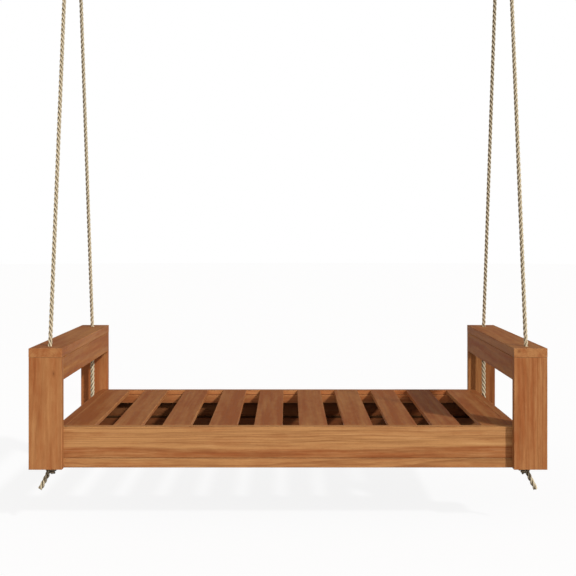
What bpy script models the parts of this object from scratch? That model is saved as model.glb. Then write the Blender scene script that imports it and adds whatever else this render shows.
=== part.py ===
"""Porch daybed swing: a slatted deck between two open arm frames, hung on four ropes.

Metres, +Z up, +X to the right arm, -Y to the front. The origin is on the ceiling, midway
between the four hangers that the ropes hang from, so the whole swing lies below it.
"""

import math

import bpy
import bmesh
from mathutils import Matrix, Vector

# Overall frame
TOTAL_WIDTH = 2.2285       # over both arms
TOTAL_DEPTH = 1.078        # front face to back face of the posts
ARM_WIDTH = 0.1446         # posts and caps
FRAME_HEIGHT = 0.5217      # cap top to post foot

# Boards
CAP_THICKNESS = 0.0397
POST_THICKNESS = 0.034
RAIL_THICKNESS = 0.031
SIDE_BOARD_THICKNESS = 0.038
RAIL_DROP = 0.1394         # cap top to the arm rail's lower edge
DECK_DROP = 0.3427         # cap top to the deck's top
APRON_HEIGHT = 0.1362
APRON_THICKNESS = 0.039
BASE_THICKNESS = 0.0417
BASE_DEPTH = 0.100
CLEAT_HEIGHT = 0.042
CLEAT_DEPTH = 0.038
SLAT_WIDTH = 0.125
SLAT_THICKNESS = 0.0192
SLAT_GAPS = (0.080, 0.090, 0.078, 0.073, 0.072, 0.072, 0.069, 0.066, 0.089)
CHAMFER = 0.0025
FIT_GAP = 0.0003           # left between pieces that touch

# Ropes
ROPE_RADIUS = 0.0095
ROPE_X = 1.042             # both rope planes stand this far from the middle
ROPE_INSET = 0.084         # post face to rope hole
ROPE_HOLE_RADIUS = 0.013
ROPE_APEX = 2.713          # height over the caps at which front and back rope would meet
BEND_DEPTH = 0.010         # below the cap's top, where a rope bends in its hole
BEND_GAP = 0.0012
POINT_SPACING = 3 * 2 * ROPE_RADIUS
KNOT_SIZE = (0.050, 0.046, 0.0385)
KNOT_FLAT = 0.0139         # the knot's middle to its flat top, which bears on the board
KNOT_SHIFT = 0.009         # the knot sits this far towards the middle from its hole
TAIL_START = (0.012, -0.008)   # outward and down from the knot's middle
TAIL_LENGTH = 0.098
TAIL_LEAN = math.radians(22)

# Ceiling hangers
HANGER_RISE = 1.900        # cap top to the pivot of a rope's eye
PIVOT_DROP = 0.046         # ceiling to that pivot
PLATE_SIZE = (0.110, 0.050, 0.006)
PLATE_CHAMFER = 0.001
ROD_RADIUS = 0.005
STAPLE_RADIUS = 0.022      # centreline of the round end of the staple
SCREW_SPACING = 0.080
SCREW_RADIUS = 0.004
SCREW_HOLE_RADIUS = 0.0045
SCREW_LENGTH = 0.060
SCREW_TIP = 0.6            # the tip's radius over the shank's
SCREW_HEAD_RADIUS = 0.0075
SCREW_HEAD_HEIGHT = 0.0055

# Rope eyes and their thimbles
EYE_RADIUS = 0.0295        # centreline of the rope round its thimble
GROOVE_RADIUS = 0.0103
THIMBLE_OUTER = 0.0128     # radius of the thimble's outer skin about the rope's centreline
LIP_ANGLE = math.radians(105)
BEARING_GAP = 0.0005       # eye to staple at the front
OPEN_PIVOT_GAP = 0.0025    # at the back, where the linkage is opened
SPLICE_LENGTH = 0.110
SPLICE_RADIUS = 0.0135

# Facets of the round shapes
HOLE_SIDES = 20
ROPE_SIDES = 10
RING_STEPS = 20            # round an eye or a thimble
STAPLE_STEPS = 12          # along the round end of a staple
SPLICE_SIDES = 12
SHANK_SIDES = 10
HEXAGON = 6
LIP_STEPS = 5              # across a thimble's groove
KNOT_SEGMENTS, KNOT_RINGS = 14, 9
SMOOTH_ANGLE = math.radians(35)
WELD_DISTANCE = 1e-5

# Places worked out from the sizes
HALF_WIDTH = TOTAL_WIDTH / 2
HALF_DEPTH = TOTAL_DEPTH / 2
INNER_X = HALF_WIDTH - ARM_WIDTH
RAIL_OUTER_X = INNER_X + RAIL_THICKNESS
POST_INNER_Y = HALF_DEPTH - POST_THICKNESS
APRON_INNER_Y = POST_INNER_Y - APRON_THICKNESS
ROPE_Y = HALF_DEPTH - ROPE_INSET
HANGER_Y = ROPE_Y * (1 - HANGER_RISE / ROPE_APEX)
PIVOT_Z = -PIVOT_DROP
CAP_TOP = PIVOT_Z - HANGER_RISE
CAP_UNDER = CAP_TOP - CAP_THICKNESS
BEND_Z = CAP_TOP - BEND_DEPTH
RAIL_UNDER = CAP_TOP - RAIL_DROP
DECK_TOP = CAP_TOP - DECK_DROP
APRON_UNDER = DECK_TOP - APRON_HEIGHT
BASE_UNDER = APRON_UNDER - BASE_THICKNESS
FOOT_Z = CAP_TOP - FRAME_HEIGHT
CLEAT_TOP = DECK_TOP - SLAT_THICKNESS

SIDES = (("left", -1), ("right", 1))
ENDS = (("front", -1), ("back", 1))


def clear_scene():
    for obj in list(bpy.data.objects):
        bpy.data.objects.remove(obj, do_unlink=True)


def new_collection(name):
    collection = bpy.data.collections.new(name)
    bpy.context.scene.collection.children.link(collection)
    return collection


def new_material(name, color, roughness, metallic=0.0):
    material = bpy.data.materials.new(name)
    material.use_nodes = True
    shader = material.node_tree.nodes["Principled BSDF"]
    shader.inputs["Base Color"].default_value = (*color, 1.0)
    shader.inputs["Roughness"].default_value = roughness
    shader.inputs["Metallic"].default_value = metallic
    return material


clear_scene()
PARTS = new_collection("porch_swing_daybed")
CUTTERS = new_collection("cutters")
UPRIGHT_WOOD = new_material("upright_wood", (0.39, 0.15, 0.05), 0.55)
LONG_WOOD = new_material("long_wood", (0.42, 0.19, 0.07), 0.55)
DECK_WOOD = new_material("deck_wood", (0.36, 0.14, 0.05), 0.6)
ROPE = new_material("twisted_rope", (0.60, 0.52, 0.38), 0.9)
STEEL = new_material("galvanised_steel", (0.55, 0.56, 0.57), 0.4, 0.9)


def add_object(name, mesh, material, collection=PARTS):
    obj = bpy.data.objects.new(name, mesh)
    if material:
        mesh.materials.append(material)
    collection.objects.link(obj)
    return obj


def mesh_from(bm, name):
    bmesh.ops.recalc_face_normals(bm, faces=bm.faces)
    mesh = bpy.data.meshes.new(name)
    bm.to_mesh(mesh)
    bm.free()
    return mesh


def as_helper(obj):
    obj.hide_render = True
    obj.display_type = "WIRE"
    return obj


def add_boolean(obj, other, operation):
    modifier = obj.modifiers.new(f"{operation.lower()} {other.name}", "BOOLEAN")
    modifier.operation = operation
    modifier.solver = "EXACT"
    modifier.object = other


def smooth(obj):
    obj.data.shade_smooth()
    obj.data.set_sharp_from_angle(angle=SMOOTH_ANGLE)


def board(name, low, high, material, chamfer=CHAMFER):
    """A chamfered board between two corners, clear of its neighbours by half the fit gap."""
    low, high = Vector(low), Vector(high)
    size = high - low - Vector((FIT_GAP,) * 3)
    bm = bmesh.new()
    bmesh.ops.create_cube(bm, size=1.0)
    bmesh.ops.scale(bm, vec=size, verts=bm.verts)
    obj = add_object(name, mesh_from(bm, name), material)
    obj.location = (low + high) / 2
    bevel = obj.modifiers.new("eased edges", "BEVEL")
    bevel.width = chamfer
    bevel.segments = 1
    return obj


def span(sign, near, far):
    """The lower and higher coordinate of a stretch mirrored to the side given by sign."""
    return sorted((sign * near, sign * far))


def rod_mesh(name, start, end, radius_start, radius_end, sides):
    """A round bar or cone between two points."""
    start, end = Vector(start), Vector(end)
    along = end - start
    turn = along.to_track_quat("Z", "Y").to_matrix().to_4x4()
    bm = bmesh.new()
    bmesh.ops.create_cone(
        bm, cap_ends=True, segments=sides, radius1=radius_start, radius2=radius_end,
        depth=along.length, matrix=Matrix.Translation((start + end) / 2) @ turn,
    )
    return mesh_from(bm, name)


def drill(obj, x, y, radius):
    """An upright hole right through a board or plate."""
    name = f"drill_{obj.name}_{len(obj.modifiers)}"
    centre = Vector((x, y, obj.location.z))
    reach = Vector((0, 0, obj.dimensions.z))
    mesh = rod_mesh(name, centre - reach, centre + reach, radius, radius, HOLE_SIDES)
    add_boolean(obj, as_helper(add_object(name, mesh, None, CUTTERS)), "DIFFERENCE")


def tube(name, points, radius, material):
    """A tube along straight runs between points, as a curve with filled ends."""
    curve = bpy.data.curves.new(name, "CURVE")
    curve.dimensions = "3D"
    curve.bevel_depth = radius
    curve.bevel_resolution = 2
    curve.use_fill_caps = True
    spline = curve.splines.new("POLY")
    spline.points.add(len(points) - 1)
    for point, place in zip(spline.points, points):
        point.co = (*place, 1.0)
    curve.materials.append(material)
    obj = bpy.data.objects.new(name, curve)
    PARTS.objects.link(obj)
    return obj


def evenly(start, end):
    """Points on a straight run, about one rope spacing apart."""
    start, end = Vector(start), Vector(end)
    count = math.ceil((end - start).length / POINT_SPACING)
    return [start.lerp(end, i / count) for i in range(count + 1)]


def make_arm(side, sign):
    x_low, x_high = span(sign, INNER_X, HALF_WIDTH)
    for end, facing in ENDS:
        y_low, y_high = span(facing, POST_INNER_Y, HALF_DEPTH)
        board(f"{side}_{end}_post", (x_low, y_low, FOOT_Z), (x_high, y_high, CAP_UNDER),
              UPRIGHT_WOOD)
    cap = board(f"{side}_arm_cap", (x_low, -HALF_DEPTH, CAP_UNDER),
                (x_high, HALF_DEPTH, CAP_TOP), LONG_WOOD)
    for _, facing in ENDS:
        drill(cap, sign * ROPE_X, facing * ROPE_Y, ROPE_HOLE_RADIUS)
    rail_low, rail_high = span(sign, INNER_X, RAIL_OUTER_X)
    board(f"{side}_arm_rail", (rail_low, -POST_INNER_Y, RAIL_UNDER),
          (rail_high, POST_INNER_Y, CAP_UNDER), LONG_WOOD)
    side_low, side_high = span(sign, INNER_X, INNER_X + SIDE_BOARD_THICKNESS)
    board(f"{side}_side_board", (side_low, -APRON_INNER_Y, APRON_UNDER),
          (side_high, APRON_INNER_Y, DECK_TOP), LONG_WOOD)


def make_seat_frame():
    for end, facing in ENDS:
        y_low, y_high = span(facing, APRON_INNER_Y, POST_INNER_Y)
        board(f"{end}_apron", (-RAIL_OUTER_X, y_low, APRON_UNDER),
              (RAIL_OUTER_X, y_high, DECK_TOP), LONG_WOOD)
        y_low, y_high = span(facing, POST_INNER_Y - BASE_DEPTH, POST_INNER_Y)
        base = board(f"{end}_base_board", (-HALF_WIDTH, y_low, BASE_UNDER),
                     (HALF_WIDTH, y_high, APRON_UNDER), LONG_WOOD)
        for _, sign in SIDES:
            drill(base, sign * ROPE_X, facing * ROPE_Y, ROPE_HOLE_RADIUS)
        y_low, y_high = span(facing, APRON_INNER_Y - CLEAT_DEPTH, APRON_INNER_Y)
        board(f"{end}_cleat", (-INNER_X, y_low, CLEAT_TOP - CLEAT_HEIGHT),
              (INNER_X, y_high, CLEAT_TOP), DECK_WOOD)


def make_slats():
    left = -INNER_X
    for number, gap in enumerate((*SLAT_GAPS, 0.0), start=1):
        board(f"slat_{number:02d}", (left, -APRON_INNER_Y, CLEAT_TOP),
              (left + SLAT_WIDTH, APRON_INNER_Y, DECK_TOP), DECK_WOOD)
        left += SLAT_WIDTH + gap


def make_knot(name, x, y, sign):
    """A stopper knot under the base board, its flat top bearing on it, with the rope's tail."""
    bm = bmesh.new()
    bmesh.ops.create_uvsphere(bm, u_segments=KNOT_SEGMENTS, v_segments=KNOT_RINGS, radius=0.5)
    bmesh.ops.scale(bm, vec=KNOT_SIZE, verts=bm.verts)
    for vertex in bm.verts:
        vertex.co.z = min(vertex.co.z, KNOT_FLAT)
    knot = add_object(name, mesh_from(bm, name), ROPE)
    knot.location = (x - sign * KNOT_SHIFT, y, BASE_UNDER - FIT_GAP - KNOT_FLAT)
    start = Vector((sign * TAIL_START[0], 0, TAIL_START[1]))
    end = start + TAIL_LENGTH * Vector((sign * math.sin(TAIL_LEAN), 0, -math.cos(TAIL_LEAN)))
    tail = rod_mesh(f"{name}_tail", start, end, ROPE_RADIUS, ROPE_RADIUS, ROPE_SIDES)
    helper = as_helper(add_object(f"{name}_tail", tail, None, CUTTERS))
    helper.location = knot.location
    add_boolean(knot, helper, "UNION")
    smooth(knot)


def make_rope(side, end, sign, facing):
    """One rope: its eye and splice at the ceiling, the long fall, the run inside the arm."""
    x = sign * ROPE_X
    pivot = Vector((x, facing * HANGER_Y, PIVOT_Z))
    bend = Vector((x, facing * ROPE_Y, BEND_Z))
    up = (pivot - bend).normalized()
    gap = BEARING_GAP if end == "front" else OPEN_PIVOT_GAP
    centre = pivot - up * (EYE_RADIUS - THIMBLE_OUTER - ROD_RADIUS - gap)
    splice_top = centre - up * EYE_RADIUS
    splice_end = splice_top - up * (ROPE_RADIUS + SPLICE_LENGTH)
    make_eye(f"{side}_{end}_rope_eye", centre, splice_top, splice_end)
    make_thimble(f"{side}_{end}_thimble", centre)
    tube(f"{side}_{end}_rope_upper",
         evenly(bend + up * BEND_GAP, splice_end - up * FIT_GAP), ROPE_RADIUS, ROPE)
    top, bottom = bend - Vector((0, 0, BEND_GAP)), Vector((x, bend.y, BASE_UNDER))
    tube(f"{side}_{end}_rope_lower", evenly(top, bottom), ROPE_RADIUS, ROPE)
    make_knot(f"{side}_{end}_knot", x, bend.y, sign)


def make_eye(name, centre, splice_top, splice_end):
    """The rope's loop round its thimble, with the tapered splice below it."""
    section = [(2 * math.pi * i / ROPE_SIDES, ROPE_RADIUS) for i in range(ROPE_SIDES)]
    eye = add_object(name, turned_ring(name, section), ROPE)
    eye.location = centre
    splice = rod_mesh(f"{name}_splice", splice_top - centre, splice_end - centre,
                      SPLICE_RADIUS, ROPE_RADIUS, SPLICE_SIDES)
    helper = as_helper(add_object(f"{name}_splice", splice, None, CUTTERS))
    helper.location = centre
    add_boolean(eye, helper, "UNION")
    smooth(eye)


def turned_ring(name, section):
    """A ring about the X axis, turned from a closed section of (angle, radius) points.

    The points are about the circle of the eye's radius, angle 0 facing outward.
    """
    bm = bmesh.new()
    verts = [bm.verts.new((EYE_RADIUS + r * math.cos(a), 0, r * math.sin(a)))
             for a, r in section]
    edges = [bm.edges.new((verts[i - 1], verts[i])) for i in range(len(verts))]
    bmesh.ops.spin(bm, geom=verts + edges, cent=(0, 0, 0), axis=(0, 0, 1),
                   angle=2 * math.pi, steps=RING_STEPS, use_merge=True)
    bmesh.ops.remove_doubles(bm, verts=bm.verts, dist=WELD_DISTANCE)
    bmesh.ops.rotate(bm, cent=(0, 0, 0), matrix=Matrix.Rotation(math.pi / 2, 3, "Y"),
                     verts=bm.verts)
    return mesh_from(bm, name)


def make_thimble(name, centre):
    """A round steel thimble: a grooved ring that lines the rope's eye."""
    swept = 2 * (math.pi - LIP_ANGLE)
    angles = [LIP_ANGLE + i / LIP_STEPS * swept for i in range(LIP_STEPS + 1)]
    section = [(a, THIMBLE_OUTER) for a in angles] + [(a, GROOVE_RADIUS) for a in angles[::-1]]
    thimble = add_object(name, turned_ring(name, section), STEEL)
    thimble.location = centre
    smooth(thimble)


def make_hanger(side, end, x, y):
    """A ceiling plate with a welded staple, and its two lag screws."""
    name = f"{side}_{end}_hanger"
    length, width, thickness = PLATE_SIZE
    plate = board(name, (x - length / 2, y - width / 2, -thickness),
                  (x + length / 2, y + width / 2, 0.0), STEEL, PLATE_CHAMFER)
    arc_centre_z = PIVOT_Z + STAPLE_RADIUS
    turns = [math.pi * i / STAPLE_STEPS for i in range(STAPLE_STEPS + 1)]
    points = [(-STAPLE_RADIUS, 0, -thickness / 2)]
    points += [(-STAPLE_RADIUS * math.cos(t), 0, arc_centre_z - STAPLE_RADIUS * math.sin(t))
               for t in turns]
    points += [(STAPLE_RADIUS, 0, -thickness / 2)]
    rod = tube(f"{name}_staple", points, ROD_RADIUS, STEEL)
    staple = solid_of(rod)
    staple.location = (x, y, 0)
    add_boolean(plate, staple, "UNION")
    for screw_side, offset in (("left", -SCREW_SPACING / 2), ("right", SCREW_SPACING / 2)):
        drill(plate, x + offset, y, SCREW_HOLE_RADIUS)
        make_screw(f"{name}_{screw_side}_screw", x + offset, y)


def solid_of(curve_obj):
    """A helper mesh with the curve's shape, its end caps welded."""
    bpy.context.view_layer.update()
    graph = bpy.context.evaluated_depsgraph_get()
    mesh = bpy.data.meshes.new_from_object(curve_obj.evaluated_get(graph))
    bm = bmesh.new()
    bm.from_mesh(mesh)
    bmesh.ops.remove_doubles(bm, verts=bm.verts, dist=WELD_DISTANCE)
    bmesh.ops.recalc_face_normals(bm, faces=bm.faces)
    bm.to_mesh(mesh)
    bm.free()
    helper = as_helper(add_object(f"{curve_obj.name}_solid", mesh, None, CUTTERS))
    bpy.data.objects.remove(curve_obj, do_unlink=True)
    return helper


def make_screw(name, x, y):
    """A hexagon-head lag screw, driven up through the plate into the joist."""
    head_top = -PLATE_SIZE[2] - FIT_GAP
    head_low = head_top - SCREW_HEAD_HEIGHT
    head = rod_mesh(name, (0, 0, head_low), (0, 0, head_top), SCREW_HEAD_RADIUS,
                    SCREW_HEAD_RADIUS, HEXAGON)
    screw = add_object(name, head, STEEL)
    screw.location = (x, y, 0)
    tip = head_top + SCREW_LENGTH
    inside_head = (head_low + head_top) / 2
    shank = rod_mesh(f"{name}_shank", (0, 0, inside_head), (0, 0, tip),
                     SCREW_RADIUS, SCREW_TIP * SCREW_RADIUS, SHANK_SIDES)
    helper = as_helper(add_object(f"{name}_shank", shank, None, CUTTERS))
    helper.location = (x, y, 0)
    add_boolean(screw, helper, "UNION")


def main():
    make_seat_frame()
    make_slats()
    for side, sign in SIDES:
        make_arm(side, sign)
        for end, facing in ENDS:
            make_rope(side, end, sign, facing)
            make_hanger(side, end, sign * ROPE_X, facing * HANGER_Y)


main()
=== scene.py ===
"""Looks of the porch daybed swing, in the CAD's frame: twisted rope, oiled wood, steel hangers."""

import math

import bmesh
import bpy
import numpy as np
from mathutils import Matrix, Vector, noise


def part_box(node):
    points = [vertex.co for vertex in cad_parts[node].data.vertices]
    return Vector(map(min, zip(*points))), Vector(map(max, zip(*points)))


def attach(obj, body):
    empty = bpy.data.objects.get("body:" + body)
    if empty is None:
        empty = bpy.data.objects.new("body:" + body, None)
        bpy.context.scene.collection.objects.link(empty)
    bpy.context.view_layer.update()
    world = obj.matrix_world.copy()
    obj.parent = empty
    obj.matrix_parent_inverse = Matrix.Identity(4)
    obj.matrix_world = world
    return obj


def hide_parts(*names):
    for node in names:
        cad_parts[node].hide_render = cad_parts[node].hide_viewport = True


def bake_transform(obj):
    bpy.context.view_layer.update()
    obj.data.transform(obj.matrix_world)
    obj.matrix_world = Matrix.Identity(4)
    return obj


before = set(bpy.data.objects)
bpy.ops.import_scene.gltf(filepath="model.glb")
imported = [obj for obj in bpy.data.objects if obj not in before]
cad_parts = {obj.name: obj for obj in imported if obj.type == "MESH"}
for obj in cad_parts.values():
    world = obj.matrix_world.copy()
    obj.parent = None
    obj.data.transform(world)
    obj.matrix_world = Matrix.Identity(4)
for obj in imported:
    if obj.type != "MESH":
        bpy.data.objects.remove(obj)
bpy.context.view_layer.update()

SIDES = (("left", -1), ("right", 1))
ENDS = (("front", -1), ("back", 1))
MM = 0.001

# The rope's route, the same points as in the CAD, in metres
ROPE_RADIUS = 0.0095
ROPE_X, ROPE_Y = 1.042, 0.455
HANGER_Y, PIVOT_Z = 0.136349, -0.046
BEND_Z = -1.956
BASE_UNDER = -2.4666
EYE_RADIUS = 0.0295
THIMBLE_OUTER, GROOVE_RADIUS = 0.0128, 0.0103
ROD_RADIUS = 0.005
PIVOT_GAP = {"front": 0.0005, "back": 0.0025}
SPLICE_LENGTH = 0.110
ROPE_LAY = 0.075            # length of one whole turn of the strands
FULLER = 0.12               # how much thicker the rope is inside the arms and in its tail


# ---------------------------------------------------------------- camera

def make_camera():
    """At the photograph's place: level, straight at the front, the view shifted down."""
    lens, shift = 59.94, -0.0915
    data = bpy.data.cameras.new("camera")
    data.lens, data.sensor_width, data.shift_y = lens, 36.0, shift
    camera = bpy.data.objects.new("camera", data)
    bpy.context.scene.collection.objects.link(camera)
    camera.location = (0.0, -4.654, -1.461)
    camera.rotation_euler = (math.radians(90), 0, 0)
    bpy.context.scene.camera = camera


# ---------------------------------------------------------------- helpers for meshes

def new_object(name, mesh, material=None):
    obj = bpy.data.objects.new(name, mesh)
    bpy.context.scene.collection.objects.link(obj)
    if material:
        mesh.materials.append(material)
    return obj


def finish_mesh(bm, name):
    bmesh.ops.recalc_face_normals(bm, faces=bm.faces)
    mesh = bpy.data.meshes.new(name)
    bm.to_mesh(mesh)
    bm.free()
    return mesh


def skin(bm, rings):
    """Joins rings of points with faces and closes both ends."""
    loops = [[bm.verts.new(point) for point in ring] for ring in rings]
    for near, far in zip(loops, loops[1:]):
        for j in range(len(near)):
            k = (j + 1) % len(near)
            bm.faces.new((near[j], near[k], far[k], far[j]))
    bm.faces.new(loops[0][::-1])
    bm.faces.new(loops[-1])


def quarter_turn(steps):
    """Angles from 0 to 90 degrees."""
    return [math.radians(90) * i / steps for i in range(steps + 1)]


def circle(sides):
    """Angles once round."""
    return [2 * math.pi * j / sides for j in range(sides)]


def shade(obj, angle):
    """Smooth, but sharp at edges that turn by more than an angle in degrees."""
    obj.data.shade_smooth()
    obj.data.set_sharp_from_angle(angle=math.radians(angle))


def evaluated_mesh(obj):
    """The object's mesh with its modifiers, or its curve, worked out."""
    bpy.context.view_layer.update()
    graph = bpy.context.evaluated_depsgraph_get()
    return bpy.data.meshes.new_from_object(obj.evaluated_get(graph))


def place(obj, body, node):
    """The piece rides a body and stands for a CAD node."""
    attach(obj, body)
    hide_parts(node)


def smooth_path(points, spacing):
    """Even points, a given spacing apart, on a smooth curve through the points."""
    points = [Vector(p) for p in points]
    ends = [2 * points[0] - points[1], *points, 2 * points[-1] - points[-2]]
    fine = []
    for a, b, c, d in zip(ends, ends[1:], ends[2:], ends[3:]):
        steps = max(4, int((c - b).length / spacing * 4))
        for i in range(steps):
            t = i / steps
            fine.append(0.5 * ((2 * b) + (c - a) * t + (2 * a - 5 * b + 4 * c - d) * t * t
                               + (3 * b - a - 3 * c + d) * t ** 3))
    fine.append(points[-1])
    return resample(fine, spacing)


def resample(points, spacing):
    """Even points along straight runs between the points."""
    line = np.array([tuple(p) for p in points])
    along = np.concatenate([[0], np.cumsum(np.linalg.norm(np.diff(line, axis=0), axis=1))])
    count = max(2, round(along[-1] / spacing) + 1)
    at = np.linspace(0, along[-1], count)
    return [Vector([np.interp(s, along, line[:, k]) for k in range(3)]) for s in at]


def path_length(points):
    return sum((b - a).length for a, b in zip(points, points[1:]))


# ---------------------------------------------------------------- twisted rope

STRANDS = 3
LOBE_POINTS = 11
STRAND_RATIO = 0.464                # a strand's radius over the rope's, three in a ring
STRAND_OFFSET = 1 - STRAND_RATIO    # the strand's middle, from the rope's
GROOVE_ANGLE = math.radians(142)    # how far round a strand the groove's bottom lies
ROPE_STEP = 0.004                   # between the rings of a rope's skin
ROPE_UV = "UVMap"                   # across: round the rope; up: turns of the lay
CUT_END_UV = (1 / 6, 0.5)           # the middle of a strand


def lobed_section():
    """The outline of three strands lying in a ring of radius 1, as (angle, distance)."""
    section = []
    for lobe in range(STRANDS):
        for i in range(LOBE_POINTS):
            turn = GROOVE_ANGLE * (2 * i / (LOBE_POINTS - 1) - 1)
            out = STRAND_OFFSET + STRAND_RATIO * math.cos(turn)
            across = STRAND_RATIO * math.sin(turn)
            section.append((2 * math.pi / STRANDS * lobe + math.atan2(across, out),
                            math.hypot(out, across)))
    return section


def frames_along(points):
    """Tangent and two cross directions at each point, turning no more than the path does."""
    tangents = [(points[min(i + 1, len(points) - 1)] - points[max(i - 1, 0)]).normalized()
                for i in range(len(points))]
    start = Vector((1, 0, 0)) if abs(tangents[0].x) < 0.8 else Vector((0, 1, 0))
    side = (start - start.dot(tangents[0]) * tangents[0]).normalized()
    frames = []
    for i, tangent in enumerate(tangents):
        if i:
            side = tangents[i - 1].rotation_difference(tangent) @ side
            side = (side - side.dot(tangent) * tangent).normalized()
        frames.append((tangent, side, tangent.cross(side)))
    return frames


def sweep(bm, rings, uv_at, end_uv):
    """A closed skin over the rings, its UV at (column, ring) given by uv_at."""
    uv_layer = bm.loops.layers.uv.get(ROPE_UV) or bm.loops.layers.uv.new(ROPE_UV)
    loops = [[bm.verts.new(point) for point in ring] for ring in rings]
    size = len(loops[0])
    for i in range(len(loops) - 1):
        for j in range(size):
            k = (j + 1) % size
            face = bm.faces.new((loops[i][j], loops[i][k], loops[i + 1][k], loops[i + 1][j]))
            face.smooth = True
            spots = ((j, i), (j + 1, i), (j + 1, i + 1), (j, i + 1))
            for loop, (column, ring) in zip(face.loops, spots):
                loop[uv_layer].uv = uv_at(column, ring)
    for ring in (loops[0][::-1], loops[-1]):
        for loop in bm.faces.new(ring).loops:
            loop[uv_layer].uv = end_uv


def even(share):
    """The taper of a rope that doesn't taper."""
    return 1.0


def fuller_from(start, over):
    """A taper from the rope's own thickness to its fuller one, in shares of its length."""
    return lambda share: 1.0 + FULLER * max(0.0, min(1.0, (share - start) / over))


def add_rope(bm, points, hand, taper=even):
    """Sweeps the three twisted strands along a path, as one closed skin with UVs."""
    section = lobed_section()
    travelled, rings, lays = 0.0, [], []
    for i, (point, (_, side, up)) in enumerate(zip(points, frames_along(points))):
        if i:
            travelled += (point - points[i - 1]).length
        size = ROPE_RADIUS * taper(i / (len(points) - 1))
        turn = hand * 2 * math.pi * travelled / ROPE_LAY
        lays.append(travelled / ROPE_LAY)
        rings.append([point + size * r * (math.cos(a + turn) * side + math.sin(a + turn) * up)
                      for a, r in section])
    sweep(bm, rings, lambda column, ring: (column / len(section), lays[ring]), CUT_END_UV)


def add_strand(bm, points, radius, sides=8, taper=even):
    """A round strand along a path, closed at its ends; its UVs stay within one strand."""
    rings = []
    for i, (point, (_, side, up)) in enumerate(zip(points, frames_along(points))):
        size = radius * taper(i / (len(points) - 1))
        rings.append([point + size * (math.cos(a) * side + math.sin(a) * up)
                      for a in circle(sides)])
    sweep(bm, rings, lambda column, ring: (0.1 + 0.13 * column / sides, ring * 0.05), (0, 0))


def rope_places(end, sign, facing):
    """The fixed points of one rope: eye centre, direction up the rope, bend and foot."""
    x = sign * ROPE_X
    pivot = Vector((x, facing * HANGER_Y, PIVOT_Z))
    bend = Vector((x, facing * ROPE_Y, BEND_Z))
    up = (pivot - bend).normalized()
    centre = pivot - up * (EYE_RADIUS - THIMBLE_OUTER - ROD_RADIUS - PIVOT_GAP[end])
    return centre, up, bend, Vector((x, bend.y, BASE_UNDER))


def lay_hand(sign, facing):
    """1 or -1: the lay is mirrored from rope to rope."""
    return -sign * facing


def make_rope(side, end, sign, facing):
    """The long fall and the run inside the arm, one rope, bending in the cap's hole."""
    name = f"{side}_{end}_rope"
    centre, up, bend, foot = rope_places(end, sign, facing)
    hand = lay_hand(sign, facing)
    throat = centre - up * (EYE_RADIUS + 0.016)
    ease, nip = 0.012, 0.004        # from the bend: where the curve starts; its tightest part
    down = Vector((0, 0, -1))
    route = resample([throat, bend + up * ease], ROPE_STEP)[:-1]
    route += smooth_path([bend + up * ease, bend + up * nip, bend + down * nip,
                          bend + down * ease], ROPE_STEP)[:-1]
    route += resample([bend + down * ease, foot - down * 0.0005], ROPE_STEP)
    swell = 1 - (foot - bend).length / path_length(route)
    bm = bmesh.new()
    add_rope(bm, route, hand, taper=fuller_from(swell, 0.02))
    rope = new_object(name, finish_mesh(bm, name), ROPE[hand])
    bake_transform(rope)
    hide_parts(f"{name}_upper", f"{name}_lower")
    return rope, route


def make_eye(side, end, sign, facing):
    """The loop round the thimble, its two legs and the strands tucked into the rope."""
    centre, up, _, _ = rope_places(end, sign, facing)
    hand = lay_hand(sign, facing)
    across = up.cross(Vector((1, 0, 0))).normalized()

    def at(a, b):
        return centre + across * a * MM + up * b * MM

    reach = EYE_RADIUS / MM
    turns = [math.radians(d) for d in range(38, 323, 15)]
    loop = [at(reach * math.sin(t), -reach * math.cos(t)) for t in turns]
    legs = [at(4.6, -66), at(5.2, -50), at(8.8, -36)]
    route = smooth_path([*legs, *loop, at(-8.8, -36), at(-5.2, -50), at(-4.6, -66)], ROPE_STEP)
    bm = bmesh.new()
    add_rope(bm, route, hand)
    tucks, tuck_lay = 60, 0.082     # points along a tucked strand; length of its one turn
    tuck_radius = 0.0040
    for k in range(STRANDS):
        tucked = []
        for i in range(tucks + 1):
            share = i / tucks
            along = share * SPLICE_LENGTH
            turn = 2 * math.pi * (k / STRANDS - hand * along / tuck_lay)
            crossing = 1.5 * (turn - hand * 2 * math.pi * along / ROPE_LAY)
            # it sinks in along the splice, and rides over and under the rope's strands
            away = 0.0112 - 0.0036 * share + 0.0016 * math.cos(crossing)
            tucked.append(centre - up * (EYE_RADIUS + 0.010 + along)
                          + away * (math.cos(turn) * across + math.sin(turn) * Vector((1, 0, 0))))
        add_strand(bm, tucked, tuck_radius, taper=lambda share: 1.0 - 0.55 * share ** 2)
    eye = new_object(f"{side}_{end}_spliced_eye", finish_mesh(bm, f"{side}_{end}_eye"), ROPE[hand])
    place(eye, f"{end}_ropes", f"{side}_{end}_rope_eye")
    return eye


def thimble_section():
    """The channel's cut, as (angle, distance) about the middle of its groove."""
    lip, steps, lip_steps = math.radians(104), 10, 5
    half_wall = (THIMBLE_OUTER - GROOVE_RADIUS) / 2
    middle = (THIMBLE_OUTER + GROOVE_RADIUS) / 2
    angles = [lip + i / steps * 2 * (math.pi - lip) for i in range(steps + 1)]
    rounding = [math.pi * i / lip_steps for i in range(1, lip_steps)]
    section = [(a, middle + half_wall) for a in angles]
    section += [(angles[-1] + half_wall * math.sin(b) / middle,
                 middle + half_wall * math.cos(b)) for b in rounding]
    section += [(a, middle - half_wall) for a in angles[::-1]]
    section += [(angles[0] - half_wall * math.sin(b) / middle,
                 middle - half_wall * math.cos(b)) for b in rounding]
    return section


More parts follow.
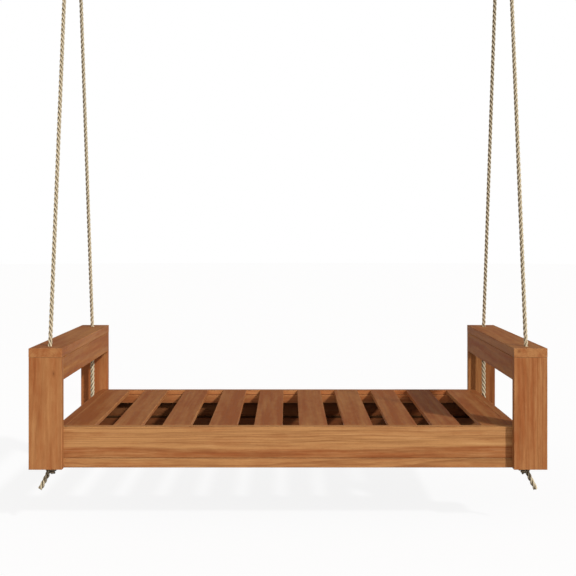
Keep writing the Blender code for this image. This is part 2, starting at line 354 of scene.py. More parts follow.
def make_thimble(side, end, sign, facing):
    """A turned steel ring whose grooved rim lines the rope's eye."""
    centre, up, _, _ = rope_places(end, sign, facing)
    across = up.cross(Vector((1, 0, 0))).normalized()
    section = thimble_section()
    bm = bmesh.new()
    rings = []
    for turn in circle(56):
        out = across * math.sin(turn) - up * math.cos(turn)
        rings.append([bm.verts.new(centre + out * (EYE_RADIUS + r * math.cos(a))
                                   + Vector((1, 0, 0)) * r * math.sin(a))
                      for a, r in section])
    for near, far in zip(rings, [*rings[1:], rings[0]]):
        for j in range(len(section)):
            k = (j + 1) % len(section)
            bm.faces.new((near[j], near[k], far[k], far[j]))
    thimble = new_object(f"{side}_{end}_round_thimble", finish_mesh(bm, "thimble"), STEEL)
    shade(thimble, 50)
    place(thimble, f"{end}_ropes", f"{side}_{end}_thimble")
    return thimble


def make_knot(side, end, sign, facing):
    """The stopper knot under the base board, with the rope's free tail."""
    _, _, _, foot = rope_places(end, sign, facing)
    hand = lay_hand(sign, facing)

    def at(a, b, c):
        """Millimetres from the hole's mouth: towards the middle, to the back, and down."""
        return foot + Vector((-sign * a, b * -facing, -c)) * MM

    route = smooth_path([
        at(0, 0, -6), at(0, 0, 4), at(2, 4, 14), at(8, 13, 21), at(21, 10, 20),
        at(26, -3, 14), at(17, -14, 10), at(4, -13, 12), at(-7, -7, 15), at(-9, 5, 22),
        at(0, 11, 30), at(12, 7, 33), at(15, -3, 29), at(9, -8, 24), at(-1, -6, 25),
        at(-7, -4, 33), at(-12, -3, 46), at(-21, -2, 63), at(-31, -1, 83), at(-42, 0, 104)],
        0.003)
    tail_from, tail_over = 0.65, 0.1
    bm = bmesh.new()
    add_rope(bm, route, hand, taper=fuller_from(tail_from, tail_over))
    knot = new_object(f"{side}_{end}_stopper_knot", finish_mesh(bm, "knot"), ROPE[hand])
    place(knot, "seat", f"{side}_{end}_knot")
    return knot


def make_cords():
    for side, sign in SIDES:
        for end, facing in ENDS:
            rope, route = make_rope(side, end, sign, facing)
            pieces = [make_eye(side, end, sign, facing), make_thimble(side, end, sign, facing),
                      make_knot(side, end, sign, facing)]


# ---------------------------------------------------------------- materials

class Nodes:
    """Adds shader nodes to a tree.

    node() returns the node and split() its outputs; the rest return one output.
    """

    def __init__(self, tree):
        self.tree = tree

    def node(self, kind, links=(), **settings):
        node = self.tree.nodes.new(kind)
        for key, value in settings.items():
            setattr(node, key, value)
        for key, value in dict(links).items():
            if isinstance(value, bpy.types.NodeSocket):
                self.tree.links.new(value, node.inputs[key])
            else:
                node.inputs[key].default_value = value
        return node

    def math(self, operation, *values, clamp=False):
        node = self.node("ShaderNodeMath", operation=operation, use_clamp=clamp,
                         links=dict(enumerate(values)))
        return node.outputs[0]

    def vector(self, operation, *values):
        return self.node("ShaderNodeVectorMath", operation=operation,
                         links=dict(enumerate(values))).outputs[0]

    def combine(self, x, y, z):
        return self.node("ShaderNodeCombineXYZ", links={0: x, 1: y, 2: z}).outputs[0]

    def split(self, vector):
        return self.node("ShaderNodeSeparateXYZ", links={0: vector}).outputs

    def noise(self, vector, scale, detail=2.0, roughness=0.5):
        return self.node("ShaderNodeTexNoise", links={
            "Vector": vector, "Scale": scale, "Detail": detail,
            "Roughness": roughness}).outputs[0]

    def stretch(self, vector, *scale):
        return self.vector("MULTIPLY", vector, scale)

    def range(self, value, low, high, to_low=0.0, to_high=1.0, smooth=True):
        return self.node("ShaderNodeMapRange", clamp=True,
                         interpolation_type="SMOOTHSTEP" if smooth else "LINEAR", links={
                             "Value": value, "From Min": low, "From Max": high,
                             "To Min": to_low, "To Max": to_high}).outputs[0]

    def mix(self, factor, a, b, blend="MIX"):
        node = self.node("ShaderNodeMix", data_type="RGBA", blend_type=blend)
        for index, value in ((0, factor), (6, a), (7, b)):
            if isinstance(value, bpy.types.NodeSocket):
                self.tree.links.new(value, node.inputs[index])
            else:
                node.inputs[index].default_value = value
        return node.outputs[2]


def linear(red, green, blue):
    """A shader colour from display values of 0 to 255."""
    return tuple(((c / 255 + 0.055) / 1.055) ** 2.4 if c > 10 else c / 255 / 12.92
                 for c in (red, green, blue)) + (1.0,)


def new_group(name, inputs, outputs):
    group = bpy.data.node_groups.new(name, "ShaderNodeTree")
    for label, kind in inputs:
        group.interface.new_socket(label, in_out="INPUT", socket_type=kind)
    for label, kind in outputs:
        group.interface.new_socket(label, in_out="OUTPUT", socket_type=kind)
    start = group.nodes.new("NodeGroupInput")
    finish = group.nodes.new("NodeGroupOutput")
    return group, Nodes(group), start.outputs, finish.inputs


def make_wood_figure():
    """Growth rings cut through by the board, with heartwood, fibres, pores and a knot.

    Grain is the place in the board, x along the grain. Pith is where the rings are centred
    and Lean how it shifts along the grain; Knot is where a branch crosses.
    """
    group, n, given, out = new_group("wood figure", (
        ("Grain", "NodeSocketVector"), ("Seed", "NodeSocketVector"),
        ("Pith", "NodeSocketVector"), ("Lean", "NodeSocketVector"),
        ("Spacing", "NodeSocketFloat"), ("Heart", "NodeSocketFloat"),
        ("Knot", "NodeSocketVector"), ("Tone", "NodeSocketFloat"),
        ("Contrast", "NodeSocketFloat")), (
        ("Color", "NodeSocketColor"), ("Roughness", "NodeSocketFloat"),
        ("Height", "NodeSocketFloat")))
    grain, seed = given["Grain"], given["Seed"]
    spot = n.vector("ADD", grain, seed)
    along = n.split(grain)[0]

    # rings, bent by a slow wander and pushed aside by the knot
    slow = n.node("ShaderNodeTexNoise", links={
        "Vector": n.stretch(spot, 1.1, 5.0, 5.0), "Scale": 1.0, "Detail": 1.0}).outputs[1]
    quick = n.node("ShaderNodeTexNoise", links={
        "Vector": n.stretch(spot, 7.0, 30.0, 30.0), "Scale": 1.0, "Detail": 2.0}).outputs[1]
    half = (0.5, 0.5, 0.5)
    drift = n.vector("ADD", n.vector("MULTIPLY", n.vector("SUBTRACT", slow, half),
                                     (0.0, 0.050, 0.050)),
                     n.vector("MULTIPLY", n.vector("SUBTRACT", quick, half),
                              (0.0, 0.009, 0.009)))
    to_knot = n.vector("SUBTRACT", grain, given["Knot"])
    knot_at = n.stretch(to_knot, 0.50, 1.0, 1.0)
    knot_gap = n.node("ShaderNodeVectorMath", operation="LENGTH", links={0: knot_at}).outputs[1]
    push = n.range(knot_gap, 0.003, 0.022, 0.6, 0.0)
    shove = n.vector("MULTIPLY", to_knot, n.combine(0.0, push, push))
    pith = n.vector("ADD", given["Pith"], n.vector("MULTIPLY", given["Lean"],
                                                   n.combine(along, along, along)))
    ring_at = n.vector("SUBTRACT", n.vector("ADD", grain, drift), n.vector("ADD", pith, shove))
    ring_at = n.vector("MULTIPLY", ring_at, (0.0, 1.0, 1.0))
    depth = n.node("ShaderNodeVectorMath", operation="LENGTH", links={0: ring_at}).outputs[1]
    uneven = n.math("MULTIPLY", n.noise(n.combine(n.math("MULTIPLY", depth, 60.0), 0.0, 0.0),
                                        1.0), 2.4)
    phase = n.math("ADD", n.math("DIVIDE", depth, given["Spacing"]), uneven)
    share = n.math("FRACT", phase)
    late = n.math("MULTIPLY", n.range(share, 0.15, 0.88), n.range(share, 0.88, 1.0, 1.0, 0.0))
    strength = n.node("ShaderNodeTexWhiteNoise", noise_dimensions="1D",
                      links={"W": n.math("FLOOR", phase)}).outputs[0]
    late = n.math("MULTIPLY", late, n.range(strength, 0.0, 1.0, 0.15, 1.0, smooth=False))

    # fibres, pores and slow colour bands along the grain
    fibre = n.noise(n.stretch(spot, 16.0, 520.0, 520.0), 1.0, 3.0, 0.65)
    streak = n.noise(n.stretch(spot, 3.5, 90.0, 90.0), 1.0, 4.0, 0.55)
    band = n.noise(n.stretch(spot, 1.6, 26.0, 26.0), 1.0, 2.0)
    mottle = n.noise(n.stretch(spot, 14.0, 45.0, 45.0), 1.0, 2.0, 0.6)
    pores = n.range(n.noise(n.stretch(spot, 60.0, 1500.0, 1500.0), 1.0, 1.0), 0.60, 0.72)

    light, red, dark = linear(196, 143, 90), linear(165, 99, 56), linear(108, 58, 30)
    heart = n.range(n.math("SUBTRACT", depth, given["Heart"]), -0.007, 0.007, 1.0, 0.0)
    warmth = n.math("ADD", n.math("MULTIPLY", heart, 0.75),
                    n.math("ADD", n.range(band, 0.30, 0.70, -0.28, 0.28),
                           n.range(mottle, 0.30, 0.70, -0.12, 0.12)))
    warmth = n.math("ADD", warmth, n.math("SUBTRACT", given["Tone"], 0.25), clamp=True)
    color = n.mix(warmth, light, red)
    rings = n.math("MULTIPLY", late, n.math("MULTIPLY", given["Contrast"], 0.20))
    color = n.mix(rings, color, dark)
    lines = n.math("MULTIPLY", n.range(streak, 0.45, 0.75), given["Contrast"])
    color = n.mix(n.math("MULTIPLY", lines, 0.20), color, dark)
    sheen = n.math("MULTIPLY", n.range(streak, 0.25, 0.45, 1.0, 0.0), given["Contrast"])
    color = n.mix(n.math("MULTIPLY", sheen, 0.16), color, linear(226, 180, 124))
    color = n.mix(n.range(fibre, 0.25, 0.75, 0.16, 0.0), color, dark)
    color = n.mix(n.math("MULTIPLY", pores, 0.30), color, dark)
    branch = n.range(knot_gap, 0.0010, 0.0042, 0.42, 0.0)
    color = n.mix(branch, color, linear(74, 38, 20))
    halo = n.range(knot_gap, 0.003, 0.012, 0.30, 0.0)
    color = n.mix(halo, color, dark)

    n.tree.links.new(color, out["Color"])
    rough = n.math("ADD", n.range(fibre, 0.2, 0.8, 0.50, 0.64), n.math("MULTIPLY", late, -0.06))
    n.tree.links.new(rough, out["Roughness"])
    height = n.math("ADD", n.math("MULTIPLY", fibre, 0.5), n.math("MULTIPLY", late, 0.4))
    height = n.math("SUBTRACT", height, n.math("MULTIPLY", pores, 0.5))
    n.tree.links.new(height, out["Height"])
    return group


def make_arris_wear():
    """How close a point is to the board's edges, from 1 on an edge to 0 a little way in."""
    group, n, given, out = new_group("arris wear", (
        ("From middle", "NodeSocketVector"), ("Half size", "NodeSocketVector"),
        ("Seed", "NodeSocketVector")), (("Wear", "NodeSocketFloat"),))
    inside = n.vector("SUBTRACT", given["Half size"],
                      n.vector("ABSOLUTE", given["From middle"]))
    a, b, c = n.split(inside)
    second = n.math("MAXIMUM", n.math("MINIMUM", a, b),
                    n.math("MINIMUM", n.math("MAXIMUM", a, b), c))
    rub = n.noise(n.vector("ADD", given["From middle"], given["Seed"]), 38.0, 3.0, 0.6)
    wide = n.range(rub, 0.35, 0.75, 0.0012, 0.0070, smooth=False)
    n.tree.links.new(n.range(n.math("DIVIDE", second, wide), 0.2, 1.0, 1.0, 0.0),
                     out["Wear"])
    return group


def new_material(name):
    material = bpy.data.materials.new(name)
    material.use_nodes = True
    shader = material.node_tree.nodes["Principled BSDF"]
    return material, Nodes(material.node_tree), shader


def wood_material(name, low, high, axis, look):
    """Oiled wood for one board, its grain along the given axis."""
    middle = (low + high) / 2
    half = (high - low) / 2
    material, n, shader = new_material(name)
    spot = n.node("ShaderNodeTexCoord").outputs["Object"]
    from_middle = n.vector("SUBTRACT", spot, tuple(middle))
    parts = n.split(from_middle)
    grain = n.combine(parts[axis], parts[(axis + 1) % 3], parts[(axis + 2) % 3])
    seed = tuple(look["seed"] * f for f in (7.31, 3.17, 5.53))
    figure = n.node("ShaderNodeGroup", node_tree=WOOD_FIGURE, links={
        "Grain": grain, "Seed": seed, "Pith": (0.0, *look["pith"]),
        "Lean": (0.0, *look["lean"]), "Spacing": look["spacing"], "Heart": look["heart"],
        "Knot": look["knot"], "Tone": look["tone"], "Contrast": look["contrast"]}).outputs
    wear = n.node("ShaderNodeGroup", node_tree=ARRIS_WEAR, links={
        "From middle": from_middle, "Half size": tuple(half), "Seed": seed}).outputs[0]
    facing = n.node("ShaderNodeTexCoord").outputs["Normal"]
    # painted shade: faces turned up are darkened by the look's top tint
    upper = n.mix(n.range(n.split(facing)[2], 0.35, 0.85), WHITE, look["top"])
    # painted shade: faces turned into the closed-in space, below the cleats, are darkened
    inward = n.node("ShaderNodeVectorMath", operation="DOT_PRODUCT", links={
        0: facing, 1: look["inside"]}).outputs["Value"]
    under = n.range(n.split(spot)[2], CLEAT_UNDER - 0.003, CLEAT_UNDER + 0.003, 1.0, 0.0)
    inner = n.mix(n.math("MULTIPLY", n.range(inward, 0.5, 0.9), under), WHITE, INNER_SHADE_TINT)
    shaded = n.mix(1.0, n.mix(1.0, figure["Color"], look["tint"], "MULTIPLY"), upper,
                   "MULTIPLY")
    shaded = n.mix(1.0, shaded, inner, "MULTIPLY")
    color = n.mix(n.math("MULTIPLY", wear, look["wear"]), shaded, linear(206, 160, 112))
    n.tree.links.new(color, shader.inputs["Base Color"])
    rough = n.math("ADD", figure["Roughness"], n.math("MULTIPLY", wear, 0.12))
    n.tree.links.new(rough, shader.inputs["Roughness"])
    bump = n.node("ShaderNodeBump", links={"Strength": 0.35, "Distance": 0.0004,
                                           "Height": figure["Height"]}).outputs[0]
    n.tree.links.new(bump, shader.inputs["Normal"])
    shader.inputs["IOR"].default_value = 1.45
    shader.inputs["Specular IOR Level"].default_value = 0.05
    return material


def rope_material(hand):
    """Undyed twisted rope: yarns in line with the rope, loose fibres; painted shade in the lay and
    between the yarns.
    """
    material, n, shader = new_material(f"twisted rope {'left' if hand < 0 else 'right'} lay")
    uv = n.node("ShaderNodeUVMap", uv_map=ROPE_UV).outputs[0]
    around, along, _ = n.split(uv)
    yarn_at = n.math("ADD", around, n.math("MULTIPLY", along, hand))
    fuzz = n.noise(n.combine(n.math("MULTIPLY", yarn_at, 60.0), n.math("MULTIPLY", along, 9.0),
                             0.0), 1.0, 3.0, 0.6)
    wobble = n.noise(n.combine(n.math("MULTIPLY", yarn_at, 6.0), n.math("MULTIPLY", along, 2.0),
                               3.0), 1.0)
    yarns = n.math("SINE", n.math("ADD", n.math("MULTIPLY", yarn_at, 2 * math.pi * 36),
                                  n.math("MULTIPLY", wobble, 7.0)))
    furrow = n.range(yarns, -1.0, -0.1, 1.0, 0.0)
    patch = n.noise(n.combine(n.math("MULTIPLY", around, 2.0), n.math("MULTIPLY", along, 0.9),
                              8.0), 1.0, 2.0)
    strand = n.math("ABSOLUTE", n.math("SUBTRACT", n.math("FRACT", n.math(
        "MULTIPLY", around, 3.0)), 0.5))
    lay = n.range(strand, 0.20, 0.38)
    color = n.mix(n.range(fuzz, 0.3, 0.7), linear(194, 180, 148), linear(218, 204, 174))
    color = n.mix(n.range(patch, 0.35, 0.70, 0.0, 0.35), color, linear(194, 178, 144))
    # painted shade in the furrows between the yarns
    color = n.mix(n.math("MULTIPLY", furrow, 0.16), color, linear(176, 155, 122))
    # painted shade in the grooves between the strands
    color = n.mix(n.math("MULTIPLY", lay, 0.94), color, linear(100, 82, 52))
    n.tree.links.new(color, shader.inputs["Base Color"])
    n.tree.links.new(n.range(fuzz, 0.2, 0.8, 0.78, 0.95), shader.inputs["Roughness"])
    height = n.math("ADD", n.math("MULTIPLY", yarns, 0.5), n.math("MULTIPLY", fuzz, 0.7))
    bump = n.node("ShaderNodeBump", links={"Strength": 0.45, "Distance": 0.0005,
                                           "Height": height}).outputs[0]
    n.tree.links.new(bump, shader.inputs["Normal"])
    shader.inputs["Sheen Weight"].default_value = 0.3
    shader.inputs["Sheen Roughness"].default_value = 0.5
    shader.inputs["Specular IOR Level"].default_value = 0.2
    return material


def steel_material():
    """Galvanised steel: zinc spangle, faint stains and fine scratches."""
    material, n, shader = new_material("galvanised steel")
    spot = n.node("ShaderNodeTexCoord").outputs["Object"]
    spangle = n.node("ShaderNodeTexVoronoi", links={"Vector": spot, "Scale": 420.0}).outputs
    tone = n.split(spangle["Color"])[0]
    stain = n.noise(spot, 60.0, 4.0, 0.6)
    scratch = n.noise(n.stretch(spot, 900.0, 60.0, 60.0), 1.0, 2.0)
    color = n.mix(tone, linear(172, 175, 178), linear(204, 207, 209))
    color = n.mix(n.range(stain, 0.52, 0.80, 0.0, 0.6), color, linear(128, 124, 118))
    n.tree.links.new(color, shader.inputs["Base Color"])
    rough = n.math("ADD", n.range(tone, 0.0, 1.0, 0.30, 0.46),
                   n.range(scratch, 0.55, 0.75, 0.0, 0.12))
    n.tree.links.new(rough, shader.inputs["Roughness"])
    bump = n.node("ShaderNodeBump", links={"Strength": 0.25, "Distance": 0.0002,
                                           "Height": stain}).outputs[0]
    n.tree.links.new(bump, shader.inputs["Normal"])
    shader.inputs["Metallic"].default_value = 1.0
    return material


CLEAT_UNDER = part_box("back_cleat")[0].z
WOOD_FIGURE = make_wood_figure()
ARRIS_WEAR = make_arris_wear()
ROPE = {hand: rope_material(hand) for hand in (-1, 1)}
STEEL = steel_material()


# ---------------------------------------------------------------- boards

ARRIS_RADIUS = 0.0016
ARRIS_STEPS = 3
STATION = 0.03              # between the sections of a board
PLANED_OFF = 0.00625        # share of a section's size
WAVER = 0.00875             # most that is planed off more in places
BORE_RADIUS = 0.0129
BORE_LIP = 0.003            # rounding of a bore's mouths


def rounded_loop(half_a, half_b, inset):
    """A rectangle with round corners, drawn in by inset, as (a, b, corner)."""
    small = max(ARRIS_RADIUS - inset, 0.12 * ARRIS_RADIUS)
    loop = []
    for corner, (sa, sb) in enumerate(((1, 1), (-1, 1), (-1, -1), (1, -1))):
        for i in range(ARRIS_STEPS + 1):
            turn = math.radians(90) * (corner + i / ARRIS_STEPS)
            loop.append((sa * (half_a - ARRIS_RADIUS) + small * math.cos(turn),
                         sb * (half_b - ARRIS_RADIUS) + small * math.sin(turn), corner))
    return loop


def board_mesh(name, low, high, axis, seed):
    """A board with hand-eased arrises that waver a little along its length."""
    middle, half = (low + high) / 2, (high - low) / 2
    a_axis, b_axis = (axis + 1) % 3, (axis + 2) % 3
    ends = [(half[axis] - ARRIS_RADIUS * (1 - math.sin(t)), ARRIS_RADIUS * (1 - math.cos(t)))
            for t in quarter_turn(ARRIS_STEPS)]
    straight = half[axis] - ARRIS_RADIUS
    count = max(1, round(2 * straight / STATION))
    inner = [(-straight + 2 * straight * i / count, 0.0) for i in range(1, count)]
    rings = []
    for s, inset in [(-s, inset) for s, inset in ends[::-1]] + inner + ends:
        ring = []
        for a, b, corner in rounded_loop(half[a_axis], half[b_axis], inset):
            waver = noise.noise(Vector((seed + 17 * corner, s * 14, 0.3)))
            pull = 1.0 if inset else 1.0 - PLANED_OFF - WAVER * max(waver, 0.0)
            point = Vector((0.0, 0.0, 0.0))
            point[axis], point[a_axis], point[b_axis] = s, a * pull, b * pull
            ring.append(middle + point)
        rings.append(ring)
    bm = bmesh.new()
    skin(bm, rings)
    return finish_mesh(bm, name)


def make_board(node, axis, look):
    low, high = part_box(node)
    material = wood_material(f"wood {node}".replace("_", " "), low, high, axis, look)
    board = new_object(f"{node}_wood", board_mesh(node, low, high, axis, look["seed"]),
                       material)
    place(board, "seat", node)
    return board


def bore(board, node, x, y):
    """An upright rope hole right through, its mouths rounded over."""
    low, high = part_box(node)
    profile = [(BORE_RADIUS + BORE_LIP, low.z - 0.004)]
    profile += [(BORE_RADIUS + BORE_LIP * (1 - math.sin(t)),
                 low.z + BORE_LIP * (1 - math.cos(t))) for t in quarter_turn(4)]
    profile += [(r, low.z + high.z - z) for r, z in profile[::-1]]
    bm = bmesh.new()
    skin(bm, [[(x + r * math.cos(a), y + r * math.sin(a), z) for a in circle(40)]
              for r, z in profile])
    cutter = new_object("cutter", finish_mesh(bm, "cutter"))
    cut = board.modifiers.new("bore", "BOOLEAN")
    cut.operation, cut.solver, cut.object = "DIFFERENCE", "EXACT", cutter
    materials = list(board.data.materials)
    mesh = evaluated_mesh(board)
    board.modifiers.clear()
    board.data = mesh
    mesh.materials.clear()
    for material in materials:
        mesh.materials.append(material)
    bpy.data.objects.remove(cutter, do_unlink=True)


def soften(board):
    """Smooth arrises beside faces that stay flat."""
    shade(board, 40)
    weighted = board.modifiers.new("flat faces", "WEIGHTED_NORMAL")
    weighted.keep_sharp = True


WHITE = (1.0, 1.0, 1.0, 1.0)
NO_KNOT = (9.0, 9.0, 9.0)
TOP_SHADE_TINT = linear(222, 218, 212)      # painted shade: faces turned up are darkened
INNER_SHADE_TINT = linear(180, 172, 172)      # painted shade on the closed-in faces under the cleats
LEDGE_SHADE_TINT = linear(112, 112, 112)      # painted shade on the base boards' tops, in the recess behind the aprons
RAIL_TINT = linear(252, 248, 226)       # the arm rails are a little yellower
DARK_TINT = linear(212, 200, 192)       # the right back post is tinted darker


def wood_look(seed, pith, lean=(0.0, 0.02), spacing=0.008, heart=0.05, tone=0.5, contrast=1.0,
              wear=0.15, knot=NO_KNOT, tint=WHITE, top=TOP_SHADE_TINT, inside=(0.0, 0.0, 0.0)):
    """One board's cut: pith and lean in its two cross directions, in metres.

    The face that looks along inside is closed in under the deck; below the cleats it is darkened,
    as painted shade.
    """
    return {"seed": seed, "pith": pith, "lean": lean, "spacing": spacing, "heart": heart,
            "tone": tone, "contrast": contrast, "wear": wear, "knot": knot, "tint": tint,
            "top": top, "inside": inside}


def board_looks():
    """Every board's grain axis, material slot and look."""
    up, long_, deck = "upright_wood", "long_wood", "deck_wood"
    looks = {
        # posts: grain along z, cross directions x and y
        "left_front_post": (2, up, wood_look(1, (0.02, 0.07), (0.01, 0.01), heart=0.20,
                                             tone=0.24, knot=(0.172, 0.036, -0.017))),
        "right_front_post": (2, up, wood_look(2, (-0.06, 0.05), (0.01, 0.02), heart=0.20,
                                              tone=0.20, contrast=1.4)),
        "left_back_post": (2, up, wood_look(3, (-0.08, 0.04), heart=0.20, tone=0.45)),
        "right_back_post": (2, up, wood_look(4, (0.09, 0.03), heart=0.085, tone=0.12,
                                             contrast=1.6, tint=DARK_TINT)),
        # caps, rails and side boards: grain along y, cross directions z and x
        "left_arm_cap": (1, long_, wood_look(5, (-0.07, 0.01), heart=0.20, tone=0.1)),
        "right_arm_cap": (1, long_, wood_look(6, (-0.07, -0.02), heart=0.20, tone=0.1,
                                              knot=(-0.538, 0.0085, -0.051))),
        "left_arm_rail": (1, long_, wood_look(7, (0.02, -0.07), heart=0.20, tone=0.25,
                                              tint=RAIL_TINT)),
        "right_arm_rail": (1, long_, wood_look(8, (-0.02, 0.07), heart=0.20, tone=0.25,
                                               tint=RAIL_TINT)),
        "left_side_board": (1, deck, wood_look(9, (0.03, -0.07), heart=0.20, tone=0.35,
                                               inside=(1.0, 0.0, 0.0))),
        "right_side_board": (1, deck, wood_look(10, (-0.03, 0.07), heart=0.20, tone=0.35,
                                                inside=(-1.0, 0.0, 0.0))),
        # aprons, base boards and cleats: grain along x, cross directions y and z
        "front_apron": (0, long_, wood_look(11, (0.045, -0.085), (0.0, 0.006), 0.009, 0.092,
                                            tone=0.26, contrast=1.9,
                                            inside=(0.0, 1.0, 0.0))),
        "back_apron": (0, long_, wood_look(12, (-0.06, -0.03), heart=0.20, tone=0.3,
                                           inside=(0.0, -1.0, 0.0))),
        # the base boards' tops behind the aprons are darkened as painted shade
        "front_base_board": (0, long_, wood_look(13, (0.05, -0.04), (0.0, 0.01), 0.007, 0.050,
                                                 tone=0.62, contrast=1.8, top=LEDGE_SHADE_TINT,
                                                 inside=(0.0, 1.0, 0.0))),
        "back_base_board": (0, long_, wood_look(14, (-0.06, 0.02), wear=0.0, top=LEDGE_SHADE_TINT,
                                                inside=(0.0, -1.0, 0.0))),
        "front_cleat": (0, deck, wood_look(15, (0.06, 0.03), heart=0.20, tone=0.4)),
        "back_cleat": (0, deck, wood_look(16, (0.07, -0.02), heart=0.20, tone=0.45)),
    }
    for i in range(10):
        swing = math.sin(2.1 * i)
        looks[f"slat_{i + 1:02d}"] = (1, deck, wood_look(
            20 + i, (-0.05 - 0.02 * swing, 0.03 * math.cos(1.7 * i)), (0.02 * swing, 0.01),
            0.008, 0.20, 0.30 - 0.10 * math.sin(1.5 * i - 0.2), 0.8))
    return looks


def make_boards():
    for node, (axis, slot, look) in board_looks().items():
        board = make_board(node, axis, look)
        if node.endswith("arm_cap"):
            sign = -1 if node.startswith("left") else 1
            for _, facing in ENDS:
                bore(board, node, sign * ROPE_X, facing * ROPE_Y)
        if node.endswith("base_board"):
            facing = -1 if node.startswith("front") else 1
            for _, sign in SIDES:
                bore(board, node, sign * ROPE_X, facing * ROPE_Y)
        soften(board)


# ---------------------------------------------------------------- ceiling hangers

PLATE_THICKNESS = 0.006
PLATE_CORNER = 0.006
PLATE_EDGE = 0.0006         # rounding of the plate's edges
SCREW_X = 0.040             # the screws' distance from the plate's middle
SCREW_HOLE = 0.0045
STAPLE_RADIUS = 0.022       # from the middle of the bend to the middle of the rod
# the weld round each foot: (depth under the plate, radius)
BEAD = ((-0.0008, 0.0086), (0.0006, 0.0084), (0.0018, 0.0068), (0.0032, 0.0051))


def plate_mesh(half_x, half_y):
    """A plate round the origin with round corners and two screw holes."""
    edge = []
    for corner, (sx, sy) in enumerate(((1, 1), (-1, 1), (-1, -1), (1, -1))):
        for t in quarter_turn(6):
            turn = t + math.radians(90) * corner
            edge.append((sx * (half_x - PLATE_CORNER) + PLATE_CORNER * math.cos(turn),
                         sy * (half_y - PLATE_CORNER) + PLATE_CORNER * math.sin(turn)))
    holes = [[(middle + SCREW_HOLE * math.cos(t), SCREW_HOLE * math.sin(t)) for t in circle(28)]
             for middle in (-SCREW_X, SCREW_X)]
    curve = bpy.data.curves.new("plate", "CURVE")
    curve.dimensions, curve.fill_mode = "2D", "BOTH"
    curve.extrude = PLATE_THICKNESS / 2 - PLATE_EDGE
    curve.bevel_depth, curve.bevel_resolution = PLATE_EDGE, 2
    curve.offset = -PLATE_EDGE
    for outline in (edge, *holes):
        spline = curve.splines.new("POLY")
        spline.points.add(len(outline) - 1)
        for point, (a, b) in zip(spline.points, outline):
            point.co = (a, b, 0.0, 1.0)
        spline.use_cyclic_u = True
    plate = new_object("plate", curve)
    mesh = evaluated_mesh(plate)
    bpy.data.objects.remove(plate, do_unlink=True)
    return mesh


def make_hanger(side, end):
    """A round-cornered plate with a bent rod welded to it."""
    node = f"{side}_{end}_hanger"
    low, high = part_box(node)
    x, y = (low.x + high.x) / 2, (low.y + high.y) / 2
    plate = plate_mesh((high.x - low.x) / 2, (high.y - low.y) / 2)
    plate.transform(Matrix.Translation((x, y, high.z - PLATE_THICKNESS / 2)))
    bm = bmesh.new()
    bm.from_mesh(plate)
    bmesh.ops.remove_doubles(bm, verts=bm.verts, dist=1e-6)
    bend_z, rod_end = PIVOT_Z + STAPLE_RADIUS, -PLATE_THICKNESS / 2 - 0.0005
    rod = [Vector((x - STAPLE_RADIUS * math.cos(t), y, bend_z - STAPLE_RADIUS * math.sin(t)))
           for t in circle(56)[:29]]
    rod = [Vector((x - STAPLE_RADIUS, y, rod_end)), *rod, Vector((x + STAPLE_RADIUS, y, rod_end))]
    add_strand(bm, rod, ROD_RADIUS, sides=20)
    for foot in (-STAPLE_RADIUS, STAPLE_RADIUS):
        bead = [Vector((x + foot, y, -PLATE_THICKNESS - depth)) for depth, _ in BEAD]
        add_strand(bm, bead, 1.0, sides=24,
                   taper=lambda share: BEAD[round(share * (len(BEAD) - 1))][1])
    hanger = new_object(f"{node}_plate", finish_mesh(bm, node), STEEL)
    shade(hanger, 40)
    place(hanger, "ceiling_hangers", node)


HEAD_HEIGHT = 0.0055
HEAD_FLAT = 0.0065          # from the middle to a flat
WASHER_RADIUS = 0.0066
SHANK_RADIUS = 0.0040
SHANK_LENGTH = 0.016        # the plain part under the head
THREAD_DEPTH = 0.0012
THREAD_PITCH = 0.0032
POINT_LENGTH = 0.010


def make_screw(node):
    """A hexagon-head lag screw: chamfered head on a washer face, coarse tapering thread."""
    low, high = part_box(node)
    x, y = (low.x + high.x) / 2, (low.y + high.y) / 2
    head_top, tip = low.z + HEAD_HEIGHT, high.z

    def ring(z, reaches):
        return [(x + r * math.cos(t), y + r * math.sin(t), z)
                for r, t in zip(reaches, circle(len(reaches)))]

    def thread_reach(z, turn):
        wave = 2 * abs((z / THREAD_PITCH - turn / (2 * math.pi)) % 1.0 - 0.5)
        crest = max(0.0, (wave - 0.45) / 0.55)
        threaded = min(1.0, max(0.0, (z - head_top - SHANK_LENGTH) / 0.002))
        point = 0.12 + 0.88 * min(1.0, (tip - z) / POINT_LENGTH)
        return (SHANK_RADIUS - THREAD_DEPTH * threaded * (1 - crest)) * point

    sixth = math.radians(60)
    hexagon = [HEAD_FLAT / math.cos((t + sixth / 2) % sixth - sixth / 2) for t in circle(48)]
    chamfer, washer = [0.9632 * HEAD_FLAT] * 48, [WASHER_RADIUS] * 48
    bm = bmesh.new()
    skin(bm, [ring(low.z, chamfer), ring(low.z + 0.0009, hexagon),
              ring(head_top - 0.0008, hexagon), ring(head_top - 0.0007, washer),
              ring(head_top, washer)])
    steps, start = 140, head_top + 0.0002
    heights = [start + (tip - start) * i / steps for i in range(steps + 1)]
    skin(bm, [ring(z, [thread_reach(z, t) for t in circle(16)]) for z in heights])
    screw = new_object(f"{node}_threaded", finish_mesh(bm, node), STEEL)
    shade(screw, 35)
    place(screw, "ceiling_hangers", node)


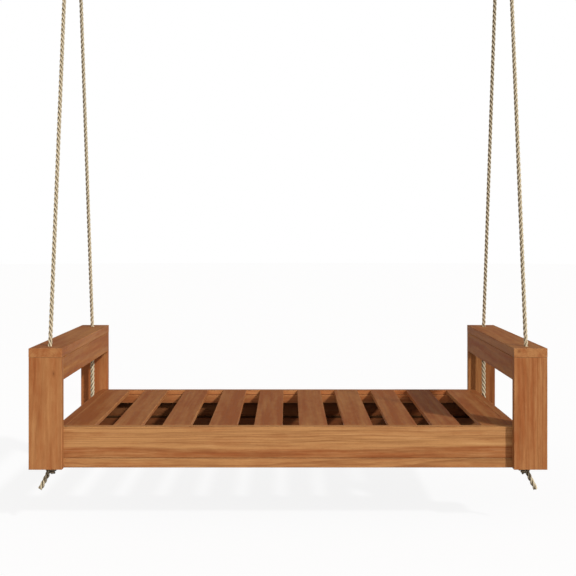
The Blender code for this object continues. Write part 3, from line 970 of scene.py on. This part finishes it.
def make_hangers():
    for side, _ in SIDES:
        for end, _ in ENDS:
            make_hanger(side, end)
            for screw_side in ("left", "right"):
                make_screw(f"{side}_{end}_hanger_{screw_side}_screw")


# ---------------------------------------------------------------- stage

FLOOR_Z = -2.74


def make_stage():
    """A pale floor, the sun, and a sky that lights unevenly but looks white."""
    bpy.ops.mesh.primitive_circle_add(vertices=96, radius=40.0, fill_type="NGON",
                                      location=(0, 0, FLOOR_Z))
    floor = bpy.context.object
    floor.name = "floor"
    material, _, shader = new_material("pale floor")
    shader.inputs["Base Color"].default_value = (0.12, 0.12, 0.12, 1.0)
    shader.inputs["Roughness"].default_value = 1.0
    shader.inputs["Specular IOR Level"].default_value = 0.0
    shader.inputs["Emission Color"].default_value = WHITE
    shader.inputs["Emission Strength"].default_value = 0.87
    floor.data.materials.append(material)
    floor.visible_diffuse = False

    key = bpy.data.lights.new("key", "SUN")
    key.energy, key.angle = 2.6, math.radians(4)
    lamp = bpy.data.objects.new("key", key)
    bpy.context.scene.collection.objects.link(lamp)
    lamp.rotation_euler = Vector((1, -1.13, 1)).to_track_quat("Z", "Y").to_euler()

    world = bpy.data.worlds.new("studio")
    bpy.context.scene.world = world
    world.use_nodes = True
    n = Nodes(world.node_tree)
    background = world.node_tree.nodes["Background"]
    seen = n.node("ShaderNodeLightPath").outputs["Is Camera Ray"]
    direction = n.split(n.node("ShaderNodeTexCoord").outputs["Generated"])
    above = n.range(direction[2], 0.04, 0.36, 0.03, 0.72)
    zenith = n.range(direction[2], 0.42, 0.85, 1.0, 0.14)
    front = n.range(direction[1], -0.7, 0.4, 2.50, 0.80)
    ambient = n.math("MULTIPLY", n.math("MULTIPLY", above, zenith), front)
    warm = n.mix(seen, (1.0, 0.93, 0.90, 1.0), WHITE)
    world.node_tree.links.new(warm, background.inputs["Color"])
    level = n.math("MAXIMUM", ambient, seen)
    world.node_tree.links.new(level, background.inputs["Strength"])
    bpy.context.scene.view_settings.view_transform = "Standard"


make_camera()
make_cords()
make_boards()
make_hangers()
make_stage()
